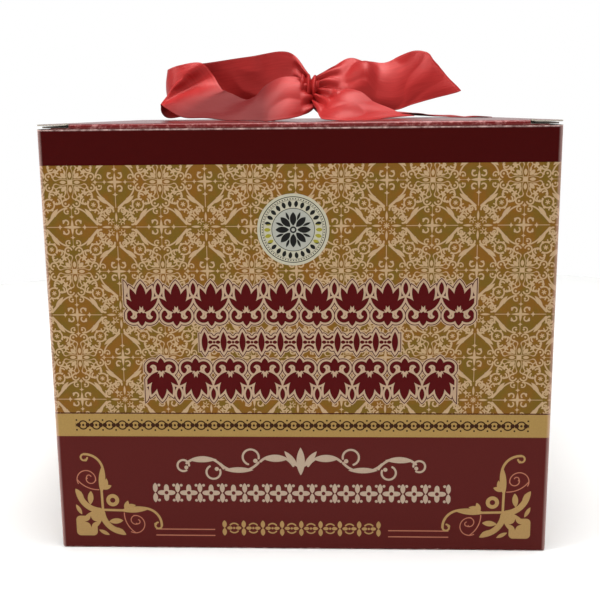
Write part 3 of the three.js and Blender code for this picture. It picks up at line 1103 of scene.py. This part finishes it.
def lid_sheet():
    """The lid and its tuck flap as one sheet, with the slots and slits left out."""
    half = spaced(0, slot_in, 6) + spaced(slot_out, slit_x - slit_gap, 24)
    half += spaced(slit_end, lid_high.x, 8)
    columns = [-x for x in reversed(half[1:])] + half
    near_crease = crease_y + 3 * MM
    levels = spaced(rear_fold_end, slot_y, 12) + spaced(slot_y, -slot_y, 6)[1:]
    levels += spaced(-slot_y, near_crease, 12)[1:] + spaced(near_crease, crease_y, 4)[1:]
    to_round = tuck_depth - tip_round
    depths = spaced(first_depth, root_round, 4) + spaced(root_round, to_round, 3)[1:]
    depths += [tuck_depth - tip_round * math.cos(math.pi / 2 * i / 8) for i in range(1, 9)]
    rows = [("flat", y) for y in levels]
    rows += [("roll", i / 6) for i in range(1, 7)]
    rolled_rows = len(rows)
    rows += [("tuck", depth) for depth in depths]
    faces = []
    wide = len(columns)
    for r in range(len(rows) - 1):
        for c in range(wide - 1):
            middle = abs(columns[c] + columns[c + 1]) / 2
            past_slit = middle > slit_x - slit_gap
            in_slit = past_slit and middle < slit_end and r == len(levels) - 2
            off_roll = past_slit and len(levels) - 1 <= r < rolled_rows
            at_slot = slot_in < middle < slot_out and r < len(levels) - 1
            in_slot = at_slot and abs(levels[r] + levels[r + 1]) / 2 < slot_y
            if not (in_slit or off_roll or in_slot):
                first = r * wide + c
                faces.append((first, first + wide, first + wide + 1, first + 1))
    return [lid_corner(x, *each) for each in rows for x in columns], faces


class GIFTBOX_OT_lid(bpy.types.Operator):
    """Make the lid and its tuck flap from one bowed sheet, and the rear crease that hinges it"""

    bl_idname = "giftbox.lid"
    bl_label = "Lid and tuck flap"

    def execute(self, context):
        piece = sheet_mesh("lid", *lid_sheet())
        with Editing(piece):
            bpy.ops.mesh.delete_loose()
        face_towards(piece, Vector((0, 0, 1)))
        self.finish(piece, "lid", board)
        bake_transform(piece)
        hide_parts("lid_panel", "tuck_flap")
        self.rear_crease()
        recoat("dust_board", "left_dust_flap", "right_dust_flap")
        return {"FINISHED"}

    def finish(self, piece, name, thickness):
        named(piece, name, "varnished_maroon", "raw_fibres")
        thicken(piece, thickness)
        smooth(piece)

    def rear_crease(self):
        """A strip of board that turns from the back wall into the lid."""
        radius = 0.8 * MM
        turn_y, turn_z = half_depth - radius, lid_top - radius
        piece = standing_plane(lid_high.x, rear_fold_low, turn_z, half_depth, -math.pi / 2)
        with Editing(piece, lambda at: at.z > turn_z - TOUCH):
            centre = (0, turn_y, turn_z)
            bpy.ops.mesh.spin(steps=6, angle=-math.pi / 2, center=centre, axis=(1, 0, 0))
        with Editing(piece, lambda at: at.z > lid_top - TOUCH):
            to_lid = (0, rear_fold_end - turn_y, 0)
            bpy.ops.mesh.extrude_region_move(TRANSFORM_OT_translate={"value": to_lid})
        with Editing(piece):
            bpy.ops.mesh.remove_doubles(threshold=TOUCH)
        face_towards(piece, Vector((0, 1, 1)))
        self.finish(piece, "rear_crease", board * 0.9)
        start, end = (0, half_depth, back_high.z), (0, turn_y, lid_top)
        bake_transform(piece)
        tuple(start)
        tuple(end)


class GIFTBOX_OT_base(bpy.types.Operator):
    """Finish the four locked base flaps: printed below, raw above and on their cut edges"""

    bl_idname = "giftbox.base"
    bl_label = "Base flaps"

    def execute(self, context):
        recoat("base_board", *(f"bottom_{side}_flap" for side in ("front", "left", "right", "rear")))
        return {"FINISHED"}


# ---- contents ----
def turned(name, profile, steps):
    """A shape spun from a line of (radius, height) places."""
    corners = [(r, 0, z) for r, z in profile]
    piece = sheet_mesh(name, corners, [], [(i, i + 1) for i in range(len(corners) - 1)])
    with Editing(piece):
        bpy.ops.mesh.spin(steps=steps, angle=math.tau, center=(0, 0, 0), axis=(0, 0, 1))
        bpy.ops.mesh.select_all(action="SELECT")
        bpy.ops.mesh.remove_doubles(threshold=20 * TOUCH)
        bpy.ops.mesh.normals_make_consistent(inside=False)
    return piece


def reshape(piece, scale_at):
    """Draws a turned shape in or out, by a scale worked out from radius, angle and height."""
    for corner in piece.data.vertices:
        at = corner.co
        scale = scale_at(math.hypot(at.x, at.y), math.atan2(at.y, at.x), at.z)
        corner.co = (at.x * scale, at.y * scale, at.z)


def round_noise(turn, scale, height):
    """Noise that joins up with itself round a turned shape."""
    return noise.noise(Vector((math.cos(turn) * scale, math.sin(turn) * scale, height)))


class GIFTBOX_OT_contents(bpy.types.Operator):
    """Make the loaf, its paper mould, the clear bag round them, and finish the tie"""

    bl_idname = "giftbox.contents"
    bl_label = "Loaf, mould, bag and tie"

    def execute(self, context):
        self.loaf()
        self.mould()
        self.bag()
        recoat("gold_foil", "twist_tie")
        return {"FINISHED"}

    def loaf(self):
        base, rim = loaf_low.z, mould_high.z
        foot = mould_high.x - 2.9 * MM
        widest = loaf_high.x - 1.0 * MM
        belly = rim + 11 * MM
        profile = [(0, base), (foot * 0.5, base), (foot - 3 * MM, base), (foot, base + 3 * MM)]
        profile += [(foot + 1 * MM, 50 * MM), (foot + 1.6 * MM, rim - 2 * MM)]
        profile += [(widest - 2 * MM, rim + 3 * MM), (widest, belly)]
        for i in range(1, 14):
            angle = math.pi / 2 * i / 14
            up = belly + (loaf_high.z - belly) * math.sin(angle)
            profile.append((widest * math.cos(angle) ** 0.9, up))
        piece = turned("loaf", profile + [(0, loaf_high.z)], 120)
        apply_modifier(piece, "SUBSURF", levels=1, render_levels=1)
        for corner in piece.data.vertices:
            at = corner.co
            if at.z < rim:
                continue
            up = min(1.0, (at.z - rim) / (12 * MM))
            lumps = noise.fractal(at * 28, 1.0, 2.0, 4) * 1.5 * MM
            groove = math.exp(-((min(from_score(at.x, at.y)) / (4 * MM)) ** 2)) * 2.6 * MM
            reach = max(0.0, 1 - math.hypot(at.x, at.y) / (75 * MM))
            inwards = -(2.0 * MM + groove * min(1.0, reach * 3)) + lumps
            corner.co += corner.normal * inwards * up
        named(piece, "loaf", "crust")
        smooth(piece, 80)
        settle(piece, "carton", "baked_crust", "panettone_loaf")

    def mould(self):
        flutes = 96
        base, rim = mould_low.z, mould_high.z
        foot, mouth = mould_high.x - 2 * MM, mould_high.x
        profile = [(0, base), (foot - 1.5 * MM, base), (foot - 0.3 * MM, base + 0.6 * MM)]
        for share in (0.03, 0.2, 0.4, 0.6, 0.8, 0.94, 1.0):
            profile.append((foot + (mouth - foot) * share, base + (rim - base) * share))
        piece = turned("mould", profile, flutes * 2)

        def fluted(radius, turn, z):
            if radius < foot - 1 * MM:
                return 1
            fold = 0.45 * MM * (0.5 + 0.5 * math.cos(turn * flutes))
            uneven = 0.25 * MM * round_noise(turn, 3, z * 30)
            return (radius - fold + uneven - 0.25 * MM) / radius

        reshape(piece, fluted)
        named(piece, "mould", "mould_paper")
        apply_modifier(piece, "SOLIDIFY", thickness=0.3 * MM, offset=-1)
        smooth(piece, 50)
        settle(piece, "carton", "baking_paper", "baking_mould")

    def bag(self):
        base, wide = bag_low.z, bag_high.x
        neck, neck_z = 4.0 * MM, tie_low.z + 1.9 * MM  # the tie goes round here
        shoulder, top = neck_z - 37 * MM, neck_z - 5.5 * MM
        side = wide - 0.8 * MM
        profile = [(0, base), (wide - 9 * MM, base), (wide - 2 * MM, base + 3 * MM), (side, base + 9 * MM)]
        profile += [(side, z) for z in (30 * MM, 55 * MM, 80 * MM, 105 * MM, shoulder)]
        for i in range(1, 9):
            angle = math.radians(80) * i / 8
            profile.append((wide * math.cos(angle), shoulder + (top - shoulder) * math.sin(angle)))
        profile += [(neck + 3 * MM, neck_z - 3 * MM), (neck, neck_z - 1.5 * MM), (neck, neck_z + 1.5 * MM)]
        profile += [(neck + 4 * MM, neck_z + 4 * MM), (12.5 * MM, bag_high.z)]
        piece = turned("bag", profile, 192)

        def creased(radius, turn, z):
            if z < base + 1 * MM or radius < 1 * MM:
                return 1
            gathered = min(1.0, max(0.0, (z - shoulder + 5 * MM) / (35 * MM)))
            pleat = math.cos(turn * 24 + 3 * noise.noise(Vector((turn * 2, 0, 1)))) * gathered
            inward = 0.5 * MM + 0.5 * MM * round_noise(turn, 6, z * 28)
            if z < neck_z - 2 * MM:
                inward += 0.6 * MM * gathered * (1 - pleat)
            return (radius - inward) / radius if radius > 6 * MM else 1 + 0.12 * pleat

        reshape(piece, creased)
        named(piece, "bag", "film")
        apply_modifier(piece, "SOLIDIFY", thickness=0.08 * MM, offset=-1)
        smooth(piece, 60)
        settle(piece, "carton", "clear_film", "clear_bag")


# ---- ribbon ----
# Each station is (upper edge, lower edge) or (upper edge, middle, lower edge), in millimetres,
# with heights above the flat lid.
left_loop = [
    ((2, 1, 21.0), (2, -2, 12.0)),
    ((-8, 6, 32.0), (-8, 4, 10.0)),
    ((-27, 9, 30.5), (-26, 9, 6.5)),
    ((-48, 10, 27.8), (-46, 11, 3.5)),
    ((-60, 6, 26.5), (-59, 8, 2.0)),
    ((-66.0, 0, 24.0), (-66.5, 1, 1.0)),
    ((-60.0, -5, 26.0), (-68.5, -6, 3.5)),
    ((-49.5, -4, 27.2), (-59.5, -8.5, 18.5), (-68.5, -10, 7.5)),
    ((-44.0, -3, 21.5), (-56.0, -7.0, 14.5), (-67.0, -13, 7.3)),
    ((-39.0, -8, 13.8), (-53.0, -14.5, 10.5), (-65.0, -17, 6.0)),
    ((-37.0, -9, 13.6), (-55.0, -26, 1.2)),
    ((-30.0, -10, 10.0), (-42.0, -31, 0.3)),
    ((-23.5, -9, 11.2), (-26.0, -22, 7.6), (-30.0, -33, 0.3)),
    ((-19.0, -7, 16.4), (-19.5, -18, 9.6), (-19.0, -29, 0.3)),
    ((-10.0, -6, 20.2), (-9.0, -14.5, 12.0), (-8.0, -22, 1.0)),
    ((-1.6, -6, 19.6), (0.2, -10.5, 12.4), (0.8, -15, 3.4)),
    ((3.0, -5, 17.0), (5.0, -9, 6.6)),
]
right_loop = [
    ((2, -2, 18.5), (2, -7, 12.0)),
    ((10, 2, 23.2), (9.5, -3, 19.4), (9, -8, 13.0)),
    ((20, 5, 28.2), (20, -2.5, 20.3), (18, -8, 9.0)),
    ((28.5, 5, 27.6), (28.5, -5, 22.0), (27, -8, 6.4)),
    ((37, 4, 26.3), (34.5, -5, 15.6), (35, -7, 4.6)),
    ((44.5, 3, 29.4), (43, -3.5, 14.6), (43, -6, 3.8)),
    ((52, 2, 31.9), (50.5, -3, 17.6), (51, -5, 6.4)),
    ((57.4, 2, 31.4), (58.5, -3, 19.4), (61, -4.5, 9.2)),
    ((60.0, 1.5, 29.2), (66.2, -1.5, 20.6), (72.4, -3, 12.0)),
    ((59.6, 4.5, 28.8), (65.6, 1.5, 20.4), (71.6, -0.5, 12.4)),
    ((52, 8, 30.6), (60, 5, 10.4)),
    ((38, 11, 25.6), (44, 5, 5.6)),
    ((24, 10, 24.0), (27, 3, 5.4)),
    ((11, 5, 19.0), (13, 0, 8.6)),
    ((3, 1, 16.0), (3, -4, 11.0)),
]
front_tail = [
    ((6, -6, 15.0), (3, -8, 9.0)),
    ((15, -10, 15.4), (5.5, -18, 5.6)),
    ((26, -14, 12.0), (16.5, -22, 8.2), (8.5, -30, 0.9)),
    ((36.5, -20, 5.4), (26.5, -28.5, 3.0), (17, -36, 0.2)),
    ((50, -26, 0.8), (39, -33, 0.6), (29, -39, 0.2)),
]
rear_tail = [
    ((4, 7, 12.0), (4, -1, 9.0)),
    ((14, 15, 7.0), (19, -4, 6.4)),
    ((30, 25, 3.6), (37, 1.5, 2.8)),
    ((52, 31, 2.0), (58, 7.5, 1.3)),
    ((70, 36, 0.9), (76, 12.5, 0.6)),
    ((87, 41, 0.4), (92, 17, 0.5)),
]


def knot_stations():
    """A short length wrapped once round the loops' meeting place."""
    stations = []
    for i in range(17):
        angle = math.tau * i / 16
        y, h = -3.6 - 5.2 * math.sin(angle), 14.6 + 4.4 * math.cos(angle)
        bulged = (2.4, y - 0.7 * math.sin(angle), h + 0.7 * math.cos(angle))
        stations.append(((-2.0, y, h + 0.6), bulged, (6.6, y, h - 0.4)))
    return stations


def strap_stations():
    """Down from the knot, through one slot, under the lid and up through the other."""
    half = 12.4
    path = [(1.5, 9.5, 5.5), (-4.0, 5.0, 9.0), (-9.5, 1.8, 11.8), (-15.2, 0.7, half), (-16.0, -0.2, half)]
    path += [(x, h, half) for x, h in ((-15.4, -1.2), (-8.0, -1.3), (8.0, -1.3), (15.4, -1.2))]
    path += [(16.0, -0.2, half), (15.2, 0.7, half), (10.0, 1.8, 11.8), (6.0, 5.0, 9.0), (3.0, 9.5, 5.5)]
    return [((x, narrow, h), (x, -narrow, h)) for x, h, narrow in path]


def through(points, steps_per_unit):
    """A smooth line through rows of numbers, evenly stepped by the length of its middle column."""
    points = np.array(points, float)
    spans = np.linalg.norm(np.diff(points.mean(axis=1), axis=0), axis=1)
    padded = np.concatenate([[2 * points[0] - points[1]], points, [2 * points[-1] - points[-2]]])
    line = []
    for i, span in enumerate(spans):
        p0, p1, p2, p3 = padded[i : i + 4]
        count = max(2, int(round(span * steps_per_unit)))
        for t in np.arange(count) / count:
            bend = (2 * p0 - 5 * p1 + 4 * p2 - p3) * t * t + (3 * p1 - p0 - 3 * p2 + p3) * t**3
            line.append(0.5 * (2 * p1 + (p2 - p0) * t + bend))
    return np.array(line + [points[-1]])


def lifted(stations):
    """Stations with their heights taken from the bowed lid, each with an upper, middle and lower place."""

    def lift(at):
        x, y, h = at
        near_lid = max(0.0, 1 - h / 20)
        return np.array((x, y, lid_top / MM + h + near_lid * lid_lift(x * MM, y * MM) / MM))

    for station in stations:
        upper, *middle, lower = [lift(at) for at in station]
        yield (upper, *(middle or [(upper + lower) / 2]), lower)


def ribbon(name, stations, pleats=3, wrinkle=0.9, shaded_span=None):
    """A strip of ribbon through its stations.

    Where a station is narrower than the ribbon, the spare width goes into pleats. Between the two shares of
    its length given in the last argument, the ribbon is rougher and painted darker as shade.
    """
    sizes = bpy.context.scene.gift_box_sizes
    full = sizes.ribbon_width / MM
    columns = 40
    rows = through(list(lifted(stations)), 1.2)
    v = np.linspace(0, 1, columns + 1)[None, :, None]
    upper, middle, lower = (rows[:, i, None, :] for i in range(3))
    grid = upper * (2 * (v - 0.5) * (v - 1)) + middle * (4 * v * (1 - v)) + lower * (2 * v * (v - 0.5))
    forward = np.gradient(grid, axis=0)
    sideways = np.gradient(grid, axis=1)
    normal = np.cross(forward, sideways)
    normal /= np.maximum(np.linalg.norm(normal, axis=2, keepdims=True), 1e-9)
    width = np.linalg.norm(sideways, axis=2).sum(axis=1)
    spare = np.clip(full / np.maximum(width, 1) - 1.15, 0, 1.6)
    deep = np.minimum(width / (math.pi * pleats) * np.sqrt(spare), 2.6)
    along = np.cumsum(np.linalg.norm(forward, axis=2).mean(axis=1))
    offset = np.zeros(grid.shape[:2])
    seed = sum(ord(letter) for letter in name)
    for i, j in np.ndindex(*offset.shape):
        share = j / columns
        drift = noise.noise(Vector((along[i] * 0.04, share * 2, seed)))
        wave = math.sin(math.tau * pleats * share + 1.5 * drift)
        slanted = Vector((along[i] * 0.07 + share * 0.7, share * 1.5, seed + 9.0))
        creases = 0.5 - 2.0 * abs(noise.noise(slanted))
        offset[i, j] = deep[i] * wave + wrinkle * creases
    grid = grid + normal * offset[:, :, None]
    wide = columns + 1
    firsts = (r * wide + c for r in range(len(rows) - 1) for c in range(columns))
    faces = [(at, at + wide, at + wide + 1, at + 1) for at in firsts]
    piece = sheet_mesh(name, grid.reshape(-1, 3) * MM, faces)
    flat = piece.data.uv_layers.new(name="ribbon")
    for loop in piece.data.loops:
        r, c = divmod(loop.vertex_index, wide)
        flat.data[loop.index].uv = (along[r], (c / columns - 0.5) * full)
    dull_and_shade = piece.data.attributes.new("dull_and_shade", "FLOAT", "POINT")
    # marks the stretch of ribbon to paint darker as shade
    if shaded_span:
        start, end = shaded_span
        share = (along - along[0]) / (along[-1] - along[0])
        showing = np.interp(share, (start - 0.08, start, end, end + 0.08), (0, 1, 1, 0))
        dull_and_shade.data.foreach_set("value", np.repeat(showing, wide).astype(np.float32))
    named(piece, name, "red_satin")
    apply_modifier(piece, "SOLIDIFY", thickness=sizes.ribbon_thickness, offset=0)
    smooth(piece, 60)
    return piece, float(along[-1] - along[0]) * MM


class GIFTBOX_OT_bow(bpy.types.Operator):
    """Make the satin bow: strap, knot, two loops and two tails"""

    bl_idname = "giftbox.bow"
    bl_label = "Ribbon bow"

    def execute(self, context):
        for name, node, held, rests_on, stations, looks in (
            ("strap", "ribbon_strap", "folded", ["lid"], strap_stations(), {"wrinkle": 0.0}),
            ("knot", "bow_knot", "gathered", ["strap"], knot_stations(), {}),
            ("left_loop", "bow_left_loop", "folded", ["lid", "knot"], left_loop, {"shaded_span": (0.66, 0.84)}),
            ("right_loop", "bow_right_loop", "folded", ["lid", "knot"], right_loop, {}),
            ("front_tail", "bow_front_tail", "laid", ["lid"], front_tail, {}),
            ("rear_tail", "bow_rear_tail", "laid", ["lid"], rear_tail, {}),
        ):
            piece, length = ribbon(name, stations, **looks)
            settle(piece, "lid", "satin_ribbon", node)
            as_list(rests_on)
        return {"FINISHED"}


# ---- stage ----
class GIFTBOX_OT_stage(bpy.types.Operator):
    """Make the floor, the studio lights and the camera"""

    bl_idname = "giftbox.stage"
    bl_label = "Stage"

    def execute(self, context):
        scene = context.scene
        scene.view_settings.view_transform = "Standard"
        select_only()
        just_below = (0, 0, -0.02 * MM)
        bpy.ops.mesh.primitive_circle_add(vertices=96, radius=0.62, fill_type="NGON", location=just_below)
        floor = context.object
        place_applied()
        with Editing(floor):
            bpy.ops.mesh.extrude_region_move(TRANSFORM_OT_translate={"value": (0, 0, -4 * MM)})
        named(floor, "floor", "pale_floor")
        self.surroundings(scene)
        self.light("overhead", (0.1, -0.1, 1.3), 1.0, 0.8, 21)
        self.light("key", (-1.1, -0.5, 0.8), 0.5, 0.5, 9)
        self.light("fill", (1.0, -0.9, 0.6), 0.9, 0.7, 1)
        self.camera(scene)
        return {"FINISHED"}

    def surroundings(self, scene):
        """A studio that is white round about and darker overhead."""
        world = bpy.data.worlds.new("studio")
        scene.world = world
        world.use_nodes = True
        nodes, links = world.node_tree.nodes, world.node_tree.links
        direction = nodes.new("ShaderNodeTexCoord")
        split = nodes.new("ShaderNodeSeparateXYZ")
        level = nodes.new("ShaderNodeMapRange")
        ends = {"From Min": 0.13, "From Max": 0.3, "To Min": 1.0, "To Max": 0.15}
        for end, value in ends.items():
            level.inputs[end].default_value = value
        links.new(direction.outputs["Generated"], split.inputs["Vector"])
        links.new(split.outputs["Z"], level.inputs["Value"])
        links.new(level.outputs["Result"], nodes["Background"].inputs["Strength"])
        nodes["Background"].inputs["Color"].default_value = (1.0, 1.0, 1.0, 1.0)

    def light(self, name, place, wide, high, power):
        """A soft rectangular light that faces the middle of the carton."""
        light = bpy.data.lights.new(name, "AREA")
        light.shape = "RECTANGLE"
        light.size = wide
        light.size_y = high
        light.energy = power
        lamp = in_scene(name, light)
        lamp.location = place
        middle = Vector((0, 0, lid_top * 0.6))
        lamp.rotation_euler = (middle - Vector(place)).to_track_quat("-Z", "Y").to_euler()

    def camera(self, scene):
        """A level-eyed view of the front, from a little to the right of its middle."""
        camera = bpy.data.cameras.new("camera")
        camera.sensor_width = 36.0
        camera.lens = 56.49
        camera.clip_start = 0.01
        viewer = in_scene("camera", camera)
        yaw, pitch, roll = math.radians(2.29), math.radians(11.3), math.radians(-0.568)
        turn = Matrix.Rotation(yaw, 4, "Z") @ Matrix.Rotation(math.pi / 2 - pitch, 4, "X")
        turn = turn @ Matrix.Rotation(roll, 4, "Z")
        viewer.matrix_world = Matrix.Translation((14.87 * MM, -462.38 * MM, 177.8 * MM)) @ turn
        scene.camera = viewer


class GIFTBOX_PT_sidebar(bpy.types.Panel):
    """Sizes, colours and the steps that build the gift box"""

    bl_label = "Gift Box"
    bl_idname = "GIFTBOX_PT_sidebar"
    bl_space_type = "VIEW_3D"
    bl_region_type = "UI"
    bl_category = "Gift Box"

    def draw(self, context):
        for settings in (context.scene.gift_box_sizes, context.scene.gift_box_colours):
            box = self.layout.box()
            for name in settings.bl_rna.properties.keys():
                if name not in ("rna_type", "name"):
                    box.prop(settings, name)
        for step in STEPS:
            self.layout.operator(step.bl_idname)


STEPS = (
    GIFTBOX_OT_stage,
    GIFTBOX_OT_walls,
    GIFTBOX_OT_lid,
    GIFTBOX_OT_base,
    GIFTBOX_OT_contents,
    GIFTBOX_OT_bow,
)
CLASSES = (GiftBoxSizes, GiftBoxColours) + STEPS + (GIFTBOX_PT_sidebar,)


def register():
    for each in CLASSES:
        bpy.utils.register_class(each)
    bpy.types.Scene.gift_box_sizes = bpy.props.PointerProperty(type=GiftBoxSizes)
    bpy.types.Scene.gift_box_colours = bpy.props.PointerProperty(type=GiftBoxColours)


def unregister():
    del bpy.types.Scene.gift_box_sizes
    del bpy.types.Scene.gift_box_colours
    for each in reversed(CLASSES):
        bpy.utils.unregister_class(each)


def main():
    register()
    for step in STEPS:
        group, operator = step.bl_idname.split(".")
        getattr(getattr(bpy.ops, group), operator)()
    bpy.context.view_layer.update()


if __name__ == "__main__":
    main()
